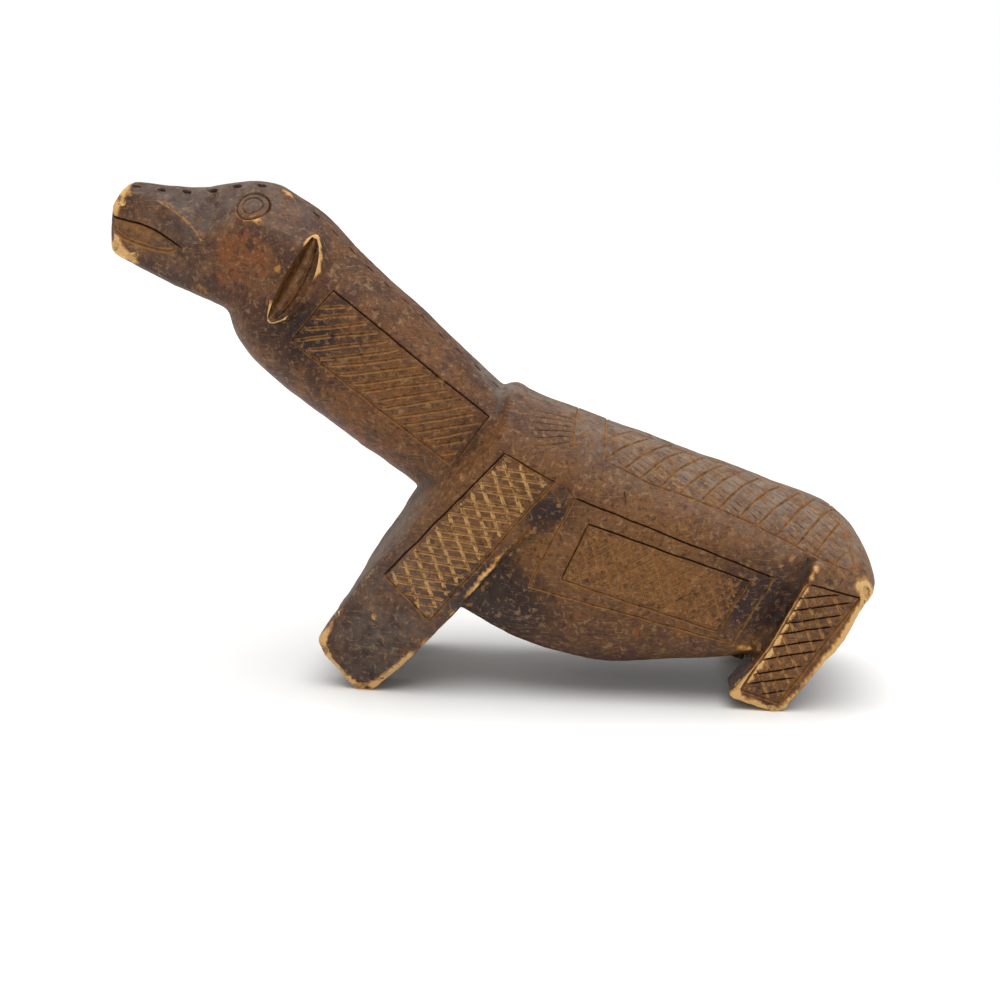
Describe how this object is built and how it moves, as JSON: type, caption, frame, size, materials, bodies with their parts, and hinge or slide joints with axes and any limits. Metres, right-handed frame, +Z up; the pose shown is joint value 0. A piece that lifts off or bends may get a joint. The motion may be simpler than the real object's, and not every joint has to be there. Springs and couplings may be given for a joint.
{
  "type": "friction oracle",
  "caption": "Carved wooden friction oracle: a crouching four-legged animal with a long raised neck, engraved panels and a smooth sloping back to rub a disc along.",
  "frame": {"origin": "middle of the footprint, at the plane its feet stand on", "axes": "-X towards the animal's nose, +X towards its rump, +Y towards its right side, +Z up"},
  "size_m": [0.3122, 0.077, 0.2051],
  "materials": {
    "wood": "dark handled patina, satin, worn to bare wood on its edges"
  },
  "bodies": {
    "root": {"figure": "wood"}
  },
  "joints": []
}
